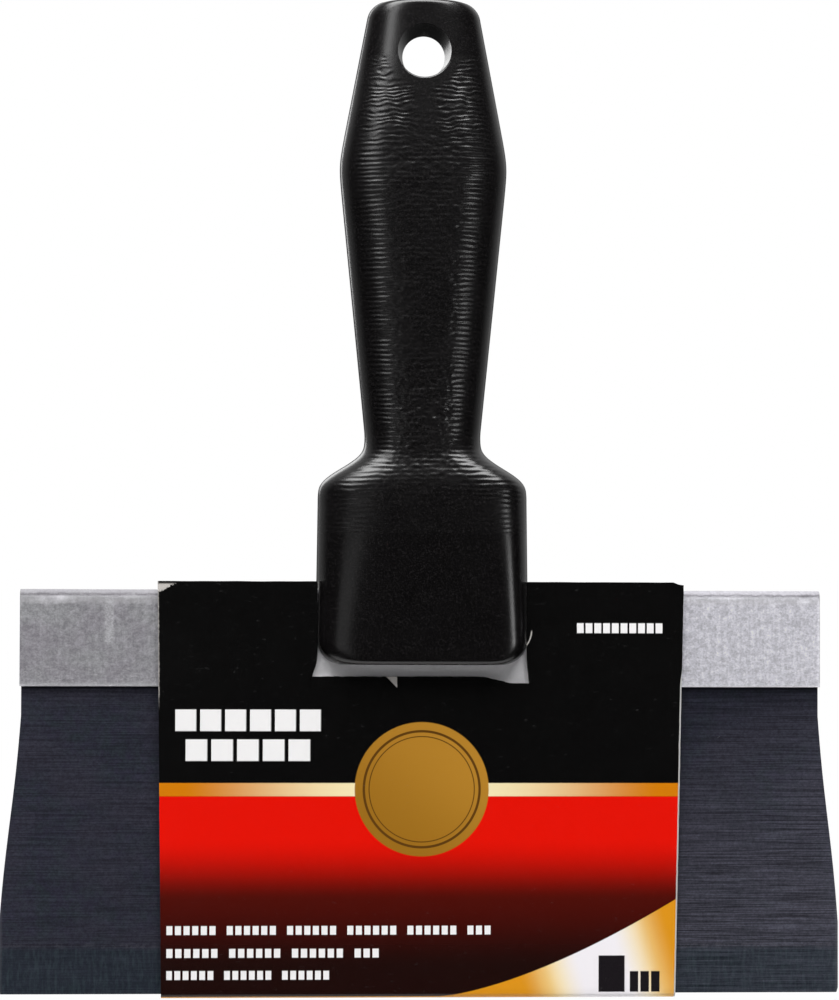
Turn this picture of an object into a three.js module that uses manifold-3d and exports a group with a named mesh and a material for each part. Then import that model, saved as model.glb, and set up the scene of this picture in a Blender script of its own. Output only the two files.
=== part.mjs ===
// Eight-inch drywall taping knife in its card sleeve, in millimetres.
// +Z runs up the handle, +X across the blade and the knife's front faces -Y.
// Heights below are measured up from the blade's working edge; the last group
// moves the whole knife so that the origin is the centre of the hang hole.

import * as THREE from 'three';
import { mergeVertices } from 'three/addons/utils/BufferGeometryUtils.js';
import Module from 'manifold-3d';

const wasm = await Module();
wasm.setup();

// Blade
const BLADE_WIDTH = 203.2;
const BLADE_THICKNESS = 0.5;
const BLADE_TOP_HEIGHT = 93.5;
const BLADE_NECK_WIDTH = 193.4;
const BLADE_FLARE_START = 66;
const BLADE_FLARE_END = 19;
const BLADE_CORNER_RADIUS = 0.8;

// Backing bar, a sheet folded over the blade's top
const BAR_LENGTH = 194;
const BAR_BOTTOM_HEIGHT = 74.1;
const BAR_TOP_HEIGHT = 97.5;
const BAR_THICKNESS = 3.2;
const BAR_SHEET = 1.1;
const BAR_LIP_BEVEL = 0.5;

// Handle outline: two straight tapers that meet at the palm swell, and a flat head
const HANDLE_TOP_HEIGHT = 240.8;
const HEAD_BOTTOM_HEIGHT = 79.5;
const END_HALF_WIDTH = 12.8;
const END_TAPER = 0.19;
const NECK_HEIGHT = 136;
const NECK_HALF_WIDTH = 13.95;
const GRIP_TAPER = 0.1;
const SWELL_BLEND = 0.48;
const HEAD_HALF_WIDTH = 25.2;
const HEAD_SPREAD = 0.5;
const SHOULDER_TOP_HEIGHT = 134.5;
const SHOULDER_BOTTOM_HEIGHT = 118.5;
const TOP_CORNER_RADIUS = 4;
const HEAD_CORNER_RADIUS = 6;
const HEAD_LIP_RADIUS = 2;

// Handle half thicknesses at the end, the palm swell, the neck and the head
const END_HALF_THICKNESS = 6.2;
const SWELL_HEIGHT = 196;
const SWELL_HALF_THICKNESS = 9.4;
const NECK_HALF_THICKNESS = 8.3;
const SHOULDER_HALF_THICKNESS = 9.8;
const HEAD_TIP_HALF_THICKNESS = 7.2;

// Section shape |x/w|^a + |y/t|^2 = 1: a small exponent crowns the face, a large one flattens it
const GRIP_EXPONENT = 2.7;
const HEAD_EXPONENT = 14;

// Shell walls and fittings
const SHELL_WALL = 2.2;
const SEAM_HALF_GAP = 0.15;
const BAR_SLOT_CLEARANCE = 0.3;
const RIB_THICKNESS = 1.4;
const RIB_HEIGHTS = [112, 130, 147, 164, 181, 211];
const HANG_HOLE_HEIGHT = 227.4;
const HANG_HOLE_RADIUS = 5.15;
const HANG_MOUTH_RADIUS = 6.45;
const HANG_TUBE_RADIUS = 8.2;
const HANG_CUT_OVERRUN = 3; // past the faces, which thicken below the hole

// Fasteners
const SCREW_SHANK_RADIUS = 1.5;
const SCREW_HOLE_RADIUS = 1.8;
const SCREW_HEAD_RADIUS = 2.9;
const SCREW_HEAD_HEIGHT = 2;
const SCREW_BORE_RADIUS = 3.3;
const SCREW_SEAT_Y = 3.6;
const SCREW_TIP_Y = -5.2;
const SCREW_RECESS_WIDTH = 0.8;
const SCREW_RECESS_LENGTH = 3.2;
const SCREW_RECESS_DEPTH = 1.1;
const BOSS_RADIUS = 4;
const HEAD_SCREW_OFFSET = 14;
const HEAD_SCREW_HEIGHT = 88.5;
const GRIP_SCREW_HEIGHT = 196;
const RIVET_SHANK_RADIUS = 1.6;
const RIVET_HOLE_RADIUS = 1.9;
const RIVET_HEAD_RADIUS = 2.8;
const RIVET_HEAD_HEIGHT = 0.3;
const RIVET_HEIGHT = 85.8;
const RIVET_OFFSETS = [-56, -36, 36, 56];
const SEAT_GAP = 0.05;

// Card sleeve: one card folded under the blade's edge
const CARD_THICKNESS = 0.5;
const SLEEVE_TOP_HEIGHT = 99.6;
const SLEEVE_FOLD_HEIGHT = -1;
const SLEEVE_TOP_HALF_WIDTH = 63.9;
const SLEEVE_FOLD_HALF_WIDTH = 62.1;
const SLEEVE_BAR_HALF_GAP = 2.2;
const SLEEVE_EDGE_HALF_GAP = 0.85;
const NOTCH_HALF_WIDTH = 26.2;
const NOTCH_BOTTOM_HEIGHT = 76;

// Facets
const SECTION_STEPS = 14;
const ROUND_SEGMENTS = 24;

const blueSteel = { color: 0x2b2c3a, roughness: 0.38, metalness: 0.9 };
const millAluminium = { color: 0xb4b2b8, roughness: 0.45, metalness: 0.95 };
const blackPlastic = { color: 0x0c0c0e, roughness: 0.4, metalness: 0 };
const zincSteel = { color: 0xb9bcc2, roughness: 0.3, metalness: 1 };
const printedCard = { color: 0x8c1410, roughness: 0.55, metalness: 0 };

// ---------------------------------------------------------------- solids

// A closed geometry as a manifold solid.
function toSolid(geometry) {
  const bare = geometry.clone();
  bare.deleteAttribute('normal');
  bare.deleteAttribute('uv');
  const merged = mergeVertices(bare, 1e-5);
  return new wasm.Manifold(new wasm.Mesh({
    numProp: 3,
    vertProperties: new Float32Array(merged.attributes.position.array),
    triVerts: new Uint32Array(merged.index.array),
  }));
}

// A manifold solid as a geometry.
function toGeometry(solid) {
  const { vertProperties, triVerts } = solid.getMesh();
  const geometry = new THREE.BufferGeometry();
  geometry.setAttribute('position', new THREE.BufferAttribute(vertProperties, 3));
  geometry.setIndex(new THREE.BufferAttribute(triVerts, 1));
  return geometry;
}

function makePiece(name, solid, look) {
  const geometry = toGeometry(solid).toNonIndexed();
  geometry.computeVertexNormals();
  const piece = new THREE.Mesh(geometry, new THREE.MeshStandardMaterial(look));
  piece.name = name;
  return piece;
}

function box(low, high) {
  const size = high.map((value, axis) => value - low[axis]);
  const geometry = new THREE.BoxGeometry(...size);
  geometry.translate(...low.map((value, axis) => value + size[axis] / 2));
  return toSolid(geometry);
}

// A round bar along Y, from yLow to yHigh, that may taper.
function roundAlongY(x, z, yLow, yHigh, radiusLow, radiusHigh = radiusLow) {
  const geometry = new THREE.CylinderGeometry(radiusHigh, radiusLow, yHigh - yLow, ROUND_SEGMENTS);
  geometry.translate(x, (yLow + yHigh) / 2, z);
  return toSolid(geometry);
}

// A flat outline in X and Z, thickened along Y about the plane y = 0.
function plate(outline, thickness) {
  const geometry = new THREE.ExtrudeGeometry(outline, {
    depth: thickness,
    bevelEnabled: false,
    curveSegments: 4,
  });
  geometry.rotateX(Math.PI / 2);
  geometry.translate(0, thickness / 2, 0);
  return toSolid(geometry);
}

// An outline in Y and Z, drawn out along X from -length/2 to length/2.
function bar(outline, length) {
  const geometry = new THREE.ExtrudeGeometry(outline, {
    depth: length,
    bevelEnabled: false,
    curveSegments: 6,
  });
  const swap = new THREE.Matrix4().set(
    0, 0, 1, -length / 2,
    1, 0, 0, 0,
    0, 1, 0, 0,
    0, 0, 0, 1,
  );
  geometry.applyMatrix4(swap);
  return toSolid(geometry);
}

// A solid skinned over a stack of loops that all have the same number of points.
function loft(loops) {
  const count = loops[0].length;
  const positions = loops.flat(2);
  const index = [];
  for (let level = 0; level + 1 < loops.length; level += 1) {
    for (let i = 0; i < count; i += 1) {
      const next = (i + 1) % count;
      const a = level * count + i;
      const b = level * count + next;
      index.push(a, b, b + count, a, b + count, a + count);
    }
  }
  const last = (loops.length - 1) * count;
  for (let i = 1; i + 1 < count; i += 1) {
    index.push(0, i + 1, i, last, last + i, last + i + 1);
  }
  const geometry = new THREE.BufferGeometry();
  geometry.setAttribute('position', new THREE.Float32BufferAttribute(positions, 3));
  geometry.setIndex(index);
  return toSolid(geometry);
}

// ---------------------------------------------------------------- handle form

function mix(a, b, share) {
  return a + (b - a) * share;
}

// Rises from 0 to 1 with level ends.
function ease(share) {
  const s = Math.min(1, Math.max(0, share));
  return s * s * s * (s * (6 * s - 15) + 10);
}

// How far a round of the given radius stands in from the side, at a distance from the end.
function roundInset(distance, radius) {
  if (distance >= radius) {
    return 0;
  }
  return radius - Math.sqrt(radius ** 2 - (radius - distance) ** 2);
}

function headShare(height) {
  return ease((SHOULDER_TOP_HEIGHT - height) / (SHOULDER_TOP_HEIGHT - SHOULDER_BOTTOM_HEIGHT));
}

function halfWidth(height) {
  const fromEnd = END_HALF_WIDTH + END_TAPER * (HANDLE_TOP_HEIGHT - height);
  const fromNeck = NECK_HALF_WIDTH + GRIP_TAPER * (height - NECK_HEIGHT);
  const grip = -SWELL_BLEND
    * Math.log(Math.exp(-fromEnd / SWELL_BLEND) + Math.exp(-fromNeck / SWELL_BLEND));
  const below = (SHOULDER_BOTTOM_HEIGHT - height) / (SHOULDER_BOTTOM_HEIGHT - HEAD_BOTTOM_HEIGHT);
  const head = HEAD_HALF_WIDTH + HEAD_SPREAD * Math.max(0, below);
  return mix(grip, head, headShare(height));
}

function halfThickness(height) {
  if (height >= SWELL_HEIGHT) {
    const share = (height - SWELL_HEIGHT) / (HANDLE_TOP_HEIGHT - SWELL_HEIGHT);
    return mix(SWELL_HALF_THICKNESS, END_HALF_THICKNESS, ease(share));
  }
  if (height >= NECK_HEIGHT) {
    const share = (height - NECK_HEIGHT) / (SWELL_HEIGHT - NECK_HEIGHT);
    return mix(NECK_HALF_THICKNESS, SWELL_HALF_THICKNESS, ease(share));
  }
  if (height >= SHOULDER_BOTTOM_HEIGHT) {
    return mix(NECK_HALF_THICKNESS, SHOULDER_HALF_THICKNESS, headShare(height));
  }
  const share = (SHOULDER_BOTTOM_HEIGHT - height) / (SHOULDER_BOTTOM_HEIGHT - HEAD_BOTTOM_HEIGHT);
  return mix(SHOULDER_HALF_THICKNESS, HEAD_TIP_HALF_THICKNESS, share);
}

// The closed loop of the handle's section at a height, shrunk by a wall all round.
function handleLoop(height, wall) {
  const fromTop = HANDLE_TOP_HEIGHT - height;
  const fromBottom = height - HEAD_BOTTOM_HEIGHT;
  const topInset = roundInset(fromTop, TOP_CORNER_RADIUS);
  const w = halfWidth(height) - topInset - roundInset(fromBottom, HEAD_CORNER_RADIUS) - wall;
  const t = halfThickness(height) - topInset * 0.8 - roundInset(fromBottom, HEAD_LIP_RADIUS) - wall;
  const exponent = mix(GRIP_EXPONENT, HEAD_EXPONENT, headShare(height));
  const loop = [];
  for (let i = 0; i < 2 * SECTION_STEPS; i += 1) {
    const angle = (i / SECTION_STEPS) * Math.PI;
    const across = Math.cos(angle);
    const depth = Math.sqrt(Math.max(0, 1 - Math.abs(across) ** exponent));
    loop.push([w * across, t * depth * (i < SECTION_STEPS ? 1 : -1), height]);
  }
  return loop;
}

function evenHeights(low, high, count) {
  return Array.from({ length: count }, (_, i) => mix(low, high, i / (count - 1)));
}

function roundHeights(end, direction, radius) {
  return [0, 0.06, 0.25, 0.55, 1].map((share) => end + direction * radius * share);
}

function handleForm() {
  const heights = [
    ...roundHeights(HEAD_BOTTOM_HEIGHT, 1, HEAD_CORNER_RADIUS),
    ...evenHeights(SHOULDER_BOTTOM_HEIGHT, SHOULDER_TOP_HEIGHT, 9),
    ...evenHeights(SHOULDER_TOP_HEIGHT + 10, SWELL_HEIGHT - 6, 4),
    ...evenHeights(SWELL_HEIGHT, SWELL_HEIGHT + 12, 4),
    ...evenHeights(SWELL_HEIGHT + 22, HANDLE_TOP_HEIGHT - 2 * TOP_CORNER_RADIUS, 2),
    ...roundHeights(HANDLE_TOP_HEIGHT, -1, TOP_CORNER_RADIUS).reverse(),
  ];
  return loft(heights.map((height) => handleLoop(height, 0)));
}

function handleHollow() {
  const heights = [
    HEAD_BOTTOM_HEIGHT + HEAD_CORNER_RADIUS,
    ...evenHeights(SHOULDER_BOTTOM_HEIGHT, SHOULDER_TOP_HEIGHT, 7),
    165,
    SWELL_HEIGHT,
    SWELL_HEIGHT + 10,
    HANDLE_TOP_HEIGHT - TOP_CORNER_RADIUS,
  ];
  return loft(heights.map((height) => handleLoop(height, SHELL_WALL)));
}

// ---------------------------------------------------------------- pieces

function makeBlade() {
  const neck = BLADE_NECK_WIDTH / 2;
  const edge = BLADE_WIDTH / 2;
  const round = BLADE_CORNER_RADIUS;
  const outline = new THREE.Shape();
  outline.moveTo(-edge + round, 0);
  outline.lineTo(edge - round, 0);
  outline.absarc(edge - round, round, round, -Math.PI / 2, 0);
  outline.lineTo(edge, BLADE_FLARE_END);
  outline.lineTo(neck, BLADE_FLARE_START);
  outline.lineTo(neck, BLADE_TOP_HEIGHT);
  outline.lineTo(-neck, BLADE_TOP_HEIGHT);
  outline.lineTo(-neck, BLADE_FLARE_START);
  outline.lineTo(-edge, BLADE_FLARE_END);
  outline.lineTo(-edge, round);
  outline.absarc(-edge + round, round, round, Math.PI, 1.5 * Math.PI);
  const solid = cutFastenerHoles(plate(outline, BLADE_THICKNESS));
  return makePiece('blade', solid, blueSteel);
}

function makeBackingBar() {
  const outer = BAR_THICKNESS / 2;
  const inner = outer - BAR_SHEET;
  const foldCentre = BAR_TOP_HEIGHT - outer;
  const outline = new THREE.Shape();
  outline.moveTo(-outer + BAR_LIP_BEVEL, BAR_BOTTOM_HEIGHT);
  outline.lineTo(-inner, BAR_BOTTOM_HEIGHT);
  outline.lineTo(-inner, foldCentre);
  outline.absarc(0, foldCentre, inner, Math.PI, 0, true);
  outline.lineTo(inner, BAR_BOTTOM_HEIGHT);
  outline.lineTo(outer - BAR_LIP_BEVEL, BAR_BOTTOM_HEIGHT);
  outline.lineTo(outer, BAR_BOTTOM_HEIGHT + BAR_LIP_BEVEL);
  outline.lineTo(outer, foldCentre);
  outline.absarc(0, foldCentre, outer, 0, Math.PI);
  outline.lineTo(-outer, BAR_BOTTOM_HEIGHT + BAR_LIP_BEVEL);
  const solid = cutFastenerHoles(bar(outline, BAR_LENGTH));
  return makePiece('backing_bar', solid, millAluminium);
}

// The holes that the rivets and the head screws need through the metal.
function cutFastenerHoles(solid) {
  const reach = BAR_THICKNESS;
  const rivetHoles = RIVET_OFFSETS.map((x) => (
    roundAlongY(x, RIVET_HEIGHT, -reach, reach, RIVET_HOLE_RADIUS)
  ));
  const screwHoles = [-HEAD_SCREW_OFFSET, HEAD_SCREW_OFFSET].map((x) => (
    roundAlongY(x, HEAD_SCREW_HEIGHT, -reach, reach, SCREW_HOLE_RADIUS)
  ));
  return [...rivetHoles, ...screwHoles].reduce((rest, hole) => rest.subtract(hole), solid);
}

function makeRivet(name, x) {
  const seat = BAR_THICKNESS / 2 + SEAT_GAP;
  const crown = seat + RIVET_HEAD_HEIGHT;
  const shank = roundAlongY(x, RIVET_HEIGHT, -crown, crown, RIVET_SHANK_RADIUS);
  const faceRadius = RIVET_HEAD_RADIUS - RIVET_HEAD_HEIGHT;
  const back = roundAlongY(x, RIVET_HEIGHT, seat, crown, RIVET_HEAD_RADIUS, faceRadius);
  const front = roundAlongY(x, RIVET_HEIGHT, -crown, -seat, faceRadius, RIVET_HEAD_RADIUS);
  return makePiece(name, shank.add(back).add(front), millAluminium);
}

function makeScrew(name, x, z) {
  const seat = SCREW_SEAT_Y + SEAT_GAP;
  const crown = seat + SCREW_HEAD_HEIGHT;
  const tipTaper = 2;
  const shank = roundAlongY(x, z, SCREW_TIP_Y + tipTaper, crown, SCREW_SHANK_RADIUS);
  const tip = roundAlongY(x, z, SCREW_TIP_Y, SCREW_TIP_Y + tipTaper, 0.4, SCREW_SHANK_RADIUS);
  const head = roundAlongY(x, z, seat, crown, SCREW_HEAD_RADIUS, SCREW_HEAD_RADIUS * 0.75);
  const long = SCREW_RECESS_LENGTH / 2;
  const wide = SCREW_RECESS_WIDTH / 2;
  const floor = crown - SCREW_RECESS_DEPTH;
  const upright = box([x - wide, floor, z - long], [x + wide, crown + 1, z + long]);
  const level = box([x - long, floor, z - wide], [x + long, crown + 1, z + wide]);
  const solid = shank.add(tip).add(head).subtract(upright).subtract(level);
  return makePiece(name, solid, zincSteel);
}

// The hang hole, narrowest at the seam and drafted wider towards each face.
function hangHoleCut() {
  const face = halfThickness(HANG_HOLE_HEIGHT);
  const reach = face + HANG_CUT_OVERRUN;
  const waist = HANG_HOLE_RADIUS;
  const draft = (HANG_MOUTH_RADIUS - HANG_HOLE_RADIUS) / face;
  const mouth = waist + draft * reach;
  const back = roundAlongY(0, HANG_HOLE_HEIGHT, 0, reach, waist, mouth);
  const front = roundAlongY(0, HANG_HOLE_HEIGHT, -reach, 0, mouth, waist);
  return back.add(front);
}

// What stands inside a shell: ribs, screw bosses and the tube round the hang hole.
function shellFittings() {
  const reach = 20;
  const ribs = RIB_HEIGHTS.map((height) => (
    box([-40, -reach, height], [40, reach, height + RIB_THICKNESS])
  ));
  const bosses = [
    roundAlongY(0, GRIP_SCREW_HEIGHT, -reach, reach, BOSS_RADIUS),
    roundAlongY(-HEAD_SCREW_OFFSET, HEAD_SCREW_HEIGHT, -reach, reach, BOSS_RADIUS),
    roundAlongY(HEAD_SCREW_OFFSET, HEAD_SCREW_HEIGHT, -reach, reach, BOSS_RADIUS),
    roundAlongY(0, HANG_HOLE_HEIGHT, -reach, reach, HANG_TUBE_RADIUS),
  ];
  return [...ribs, ...bosses].reduce((all, fitting) => all.add(fitting));
}

// The slot in which the head straddles the backing bar.
function barSlot() {
  const deep = BAR_THICKNESS / 2 + BAR_SLOT_CLEARANCE;
  const low = HEAD_BOTTOM_HEIGHT - 5;
  const high = BAR_TOP_HEIGHT + BAR_SLOT_CLEARANCE;
  return box([-40, -deep, low], [40, deep, high]);
}

function screwPlaces() {
  return [
    { name: 'head_screw_left', x: -HEAD_SCREW_OFFSET, z: HEAD_SCREW_HEIGHT },
    { name: 'head_screw_right', x: HEAD_SCREW_OFFSET, z: HEAD_SCREW_HEIGHT },
    { name: 'grip_screw', x: 0, z: GRIP_SCREW_HEIGHT },
  ];
}

// The pilot hole, the clearance hole and the counterbore of one screw.
function screwCut({ x, z }) {
  const pilot = roundAlongY(x, z, SCREW_TIP_Y - 0.5, SCREW_SEAT_Y + 1, SCREW_HOLE_RADIUS);
  const bore = roundAlongY(x, z, SCREW_SEAT_Y, 20, SCREW_BORE_RADIUS);
  return pilot.add(bore);
}

// A shell is its half of the handle's form, hollowed, with the fittings put back.
function makeShell(name, yLow, yHigh) {
  const half = handleForm().intersect(box([-40, yLow, 0], [40, yHigh, 300]));
  const walls = half.subtract(handleHollow());
  const fittings = half.intersect(shellFittings());
  const cuts = [barSlot(), hangHoleCut(), ...screwPlaces().map(screwCut)];
  const solid = cuts.reduce((rest, cut) => rest.subtract(cut), walls.add(fittings));
  return makePiece(name, solid, blackPlastic);
}

// The sleeve's section: an upright pocket that closes on the blade's edge.
function sleeveSection() {
  const barLip = BAR_BOTTOM_HEIGHT - 1;
  const insideTop = SLEEVE_BAR_HALF_GAP;
  const insideEdge = SLEEVE_EDGE_HALF_GAP;
  const outsideTop = insideTop + CARD_THICKNESS;
  const outsideEdge = insideEdge + CARD_THICKNESS;
  const fold = SLEEVE_FOLD_HEIGHT;
  const outline = new THREE.Shape();
  outline.moveTo(-outsideEdge + 0.5, fold);
  outline.lineTo(outsideEdge - 0.5, fold);
  outline.lineTo(outsideEdge, fold + 0.5);
  outline.lineTo(outsideTop, barLip);
  outline.lineTo(outsideTop, SLEEVE_TOP_HEIGHT);
  outline.lineTo(insideTop, SLEEVE_TOP_HEIGHT);
  outline.lineTo(insideTop, barLip);
  outline.lineTo(insideEdge, fold + CARD_THICKNESS);
  outline.lineTo(-insideEdge, fold + CARD_THICKNESS);
  outline.lineTo(-insideTop, barLip);
  outline.lineTo(-insideTop, SLEEVE_TOP_HEIGHT);
  outline.lineTo(-outsideTop, SLEEVE_TOP_HEIGHT);
  outline.lineTo(-outsideTop, barLip);
  outline.lineTo(-outsideEdge, fold + 0.5);
  return outline;
}

// The sleeve's face: a little narrower at the fold, with a notch for the handle's head.
function sleeveFace() {
  const outline = new THREE.Shape();
  outline.moveTo(-SLEEVE_FOLD_HALF_WIDTH, SLEEVE_FOLD_HEIGHT - 1);
  outline.lineTo(SLEEVE_FOLD_HALF_WIDTH, SLEEVE_FOLD_HEIGHT - 1);
  outline.lineTo(SLEEVE_TOP_HALF_WIDTH, SLEEVE_TOP_HEIGHT + 1);
  outline.lineTo(NOTCH_HALF_WIDTH, SLEEVE_TOP_HEIGHT + 1);
  outline.lineTo(NOTCH_HALF_WIDTH, NOTCH_BOTTOM_HEIGHT);
  outline.lineTo(-NOTCH_HALF_WIDTH, NOTCH_BOTTOM_HEIGHT);
  outline.lineTo(-NOTCH_HALF_WIDTH, SLEEVE_TOP_HEIGHT + 1);
  outline.lineTo(-SLEEVE_TOP_HALF_WIDTH, SLEEVE_TOP_HEIGHT + 1);
  return outline;
}

function makeSleeve() {
  const pocket = bar(sleeveSection(), 2.5 * SLEEVE_TOP_HALF_WIDTH);
  const solid = pocket.intersect(plate(sleeveFace(), 20));
  return makePiece('card_sleeve', solid, printedCard);
}

// ---------------------------------------------------------------- assembly

const knife = new THREE.Group();
knife.add(makeBlade());
knife.add(makeBackingBar());
RIVET_OFFSETS.forEach((x, i) => knife.add(makeRivet(`blade_rivet_${i + 1}`, x)));
knife.add(makeShell('handle_front_shell', -40, -SEAM_HALF_GAP));
knife.add(makeShell('handle_back_shell', SEAM_HALF_GAP, 40));
screwPlaces().forEach(({ name, x, z }) => knife.add(makeScrew(name, x, z)));
knife.add(makeSleeve());
knife.position.z = -HANG_HOLE_HEIGHT;

const part = new THREE.Group();
part.add(knife);

export default part;
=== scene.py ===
"""Eight-inch drywall taping knife in its card sleeve, in fine detail round its CAD frame.

Shapes are worked out in millimetres, with x across the blade, y from front to back and
z measured up from the blade's working edge, and are moved to the CAD frame as they are made.
"""

import math

import bpy
import numpy as np
from mathutils import Matrix, Vector, noise


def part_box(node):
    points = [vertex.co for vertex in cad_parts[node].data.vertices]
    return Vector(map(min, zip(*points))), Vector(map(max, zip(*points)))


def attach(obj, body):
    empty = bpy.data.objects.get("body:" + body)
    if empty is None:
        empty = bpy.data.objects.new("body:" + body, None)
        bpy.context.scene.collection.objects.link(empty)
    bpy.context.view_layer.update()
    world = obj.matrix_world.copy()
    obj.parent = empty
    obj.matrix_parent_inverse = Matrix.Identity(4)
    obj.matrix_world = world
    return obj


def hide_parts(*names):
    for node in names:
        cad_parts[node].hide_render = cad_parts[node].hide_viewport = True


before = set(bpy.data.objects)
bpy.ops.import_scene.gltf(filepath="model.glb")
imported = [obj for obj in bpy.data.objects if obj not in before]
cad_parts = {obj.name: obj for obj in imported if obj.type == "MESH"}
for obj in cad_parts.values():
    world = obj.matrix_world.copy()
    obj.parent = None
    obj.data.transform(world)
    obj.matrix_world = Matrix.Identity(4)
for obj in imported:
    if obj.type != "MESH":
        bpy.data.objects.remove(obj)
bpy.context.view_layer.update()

MM = 0.001
EDGE_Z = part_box("blade")[0].z


def size_mm(node):
    """Lowest and highest corners of a CAD node, in millimetres above the working edge."""
    low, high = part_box(node)
    lift = Vector((0, 0, EDGE_Z))
    return (low - lift) / MM, (high - lift) / MM


def centre_mm(node):
    low, high = size_mm(node)
    return (low + high) / 2


# ------------------------ sizes

BLADE_HIGH = size_mm("blade")[1]
BAR_LOW, BAR_HIGH = size_mm("backing_bar")
SHELL_LOW, SHELL_HIGH = size_mm("handle_front_shell")
SLEEVE_LOW, SLEEVE_HIGH = size_mm("card_sleeve")

BLADE_NECK_HALF = 96.7
BLADE_FLARE_START = 67
BLADE_FLARE_END = 17
BLADE_HONED = 1.2
BLADE_HONED_SHARE = 0.35
BLADE_CORNER = 0.6
BLADE_EDGE_BREAK = 0.06
GROUND_BAND = 11.2

BAR_SHEET = 1.1
BAR_LIP_BEVEL = 0.45
BAR_SAG = 0.1
BAR_WAVE = 0.05

RIVET_HOLE = 1.9
SCREW_HOLE = 1.8
SCREW_PILOT = 5.7
SCREW_SEAT = 3.6
SCREW_BORE = 3.3

END_HALF_WIDTH = 12.8
END_TAPER = 0.19
NECK_HEIGHT = 136
NECK_HALF_WIDTH = 13.95
GRIP_TAPER = 0.1
SWELL_BLEND = 0.48
HEAD_HALF_WIDTH = 25.2
HEAD_SPREAD = 0.5
SHOULDER_TOP = 137
SHOULDER_STEEP = 132.8
SHOULDER_STEEP_END = 121
SHOULDER_BOTTOM = 118.5
TOP_CORNER = 4
HEAD_CORNER = 6
HEAD_LIP = 1.1
END_HALF_THICKNESS = 6.2
SWELL_HEIGHT = 196
SWELL_HALF_THICKNESS = 9.4
NECK_HALF_THICKNESS = 8.3
SHOULDER_HALF_THICKNESS = 9.8
TIP_HALF_THICKNESS = 7.2
GRIP_EXPONENT = 2.7
END_EXPONENT = 2.1
END_THINNING = 1.3
HEAD_EXPONENT = 8.3
LIP_EXPONENT = 14.5
HEAD_LEFT_EXPONENT = 3.2
LIP_LEFT_EXPONENT = 7
TOP_EDGE = 0.9
SEAM_HALF_GAP = 0.15
SEAM_GROOVE_DEPTH = 0.22
SEAM_GROOVE_WIDTH = 0.4
SLOT_GAP = 0.3
SLOT_HALF_WIDTH = 40

HOLE_HEIGHT = -EDGE_Z / MM
HOLE_WAIST = 5.15
HOLE_MOUTH = 6.45
HOLE_LIP = 0.5
HOLE_RISE = 0.7

TEXTURE_TOP = 227
TEXTURE_BOTTOM = 111.2
TEXTURE_HOLE_GAP = 8.4
WRINKLES_START = 203
WRINKLES_FULL = 211
RIB_PITCH = 1.16
RIB_DEPTH = 0.065
GRAIN_DEPTH = 0.085

CARD = 0.5
NOTCH_HALF = 25.3
NOTCH_BOTTOM = 76
NOTCH_SPREAD_LEFT = 1.8
NOTCH_SPREAD_RIGHT = 0.6
SLEEVE_RIGHT_TRIM = 0.35
SIDE_TAPER = 0.0125
CUT_SLANT = 0.42
CARD_EDGE_GAP = 0.85
CARD_FOLD_RADIUS = 0.9
CARD_BOW = 0.1
CARD_CURL = 0.28
NICK_X = 63
NICK_HALF_WIDTH = 1.4
NICK_DEPTH = 1.1

FLOOR_DROP = 260
FLOOR_RADIUS = 420
FLOOR_THICKNESS = 8


# ------------------------ mesh tools

def mix(a, b, share):
    return a + (b - a) * share


def ease(share):
    """Rises from 0 to 1 with level ends."""
    s = np.clip(share, 0, 1)
    return s * s * s * (s * (6 * s - 15) + 10)


def ramp(value, start, end):
    """Rises straight from 0 at start to 1 at end."""
    return min(1, max(0, (value - start) / (end - start)))


def to_frame(points):
    """Millimetres above the working edge to metres in the CAD frame."""
    return np.asarray(points, float) * MM + np.array([0, 0, EDGE_Z])


def face_outwards(mesh):
    """Turns the faces round if the mesh holds a negative volume."""
    mesh.calc_loop_triangles()
    volume = sum(
        mesh.vertices[a].co.dot(mesh.vertices[b].co.cross(mesh.vertices[c].co))
        for a, b, c in (triangle.vertices for triangle in mesh.loop_triangles)
    )
    if volume < 0:
        mesh.flip_normals()


def add_piece(name, points, faces, material, smooth=True):
    """A closed mesh in the scene, from points in millimetres above the working edge."""
    mesh = bpy.data.meshes.new(name)
    mesh.from_pydata(to_frame(points).tolist(), [], faces)
    mesh.update()
    face_outwards(mesh)
    mesh.materials.append(material)
    mesh.polygons.foreach_set("use_smooth", [smooth] * len(mesh.polygons))
    piece = bpy.data.objects.new(name, mesh)
    bpy.context.scene.collection.objects.link(piece)
    return piece


def loft_faces(rows, columns):
    """A closed skin over a stack of loops, with a cap on the first and the last."""
    faces = []
    for row in range(rows - 1):
        low = row * columns
        high = low + columns
        for column in range(columns):
            beside = (column + 1) % columns
            faces.append((low + column, low + beside, high + beside, high + column))
    last = (rows - 1) * columns
    bottom = tuple(range(columns - 1, -1, -1))
    top = tuple(range(last, last + columns))
    return faces + [bottom, top]


def lathe(profile, segments=48):
    """Points and faces of a profile of (radius, y) turned about the Y axis; the ends lie on it."""
    points = [(0, profile[0][1], 0)]
    rings = profile[1:-1]
    for radius, y in rings:
        for i in range(segments):
            angle = 2 * math.pi * i / segments
            points.append((radius * math.cos(angle), y, radius * math.sin(angle)))
    points.append((0, profile[-1][1], 0))
    end = len(points) - 1
    faces = []
    for i in range(segments):
        beside = (i + 1) % segments
        faces.append((0, 1 + i, 1 + beside))
        last = 1 + (len(rings) - 1) * segments
        faces.append((end, last + beside, last + i))
    for ring in range(len(rings) - 1):
        low = 1 + ring * segments
        high = low + segments
        for i in range(segments):
            beside = (i + 1) % segments
            faces.append((low + i, high + i, high + beside, low + beside))
    return points, faces


def move(points, offset):
    return [tuple(a + b for a, b in zip(point, offset)) for point in points]


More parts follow.
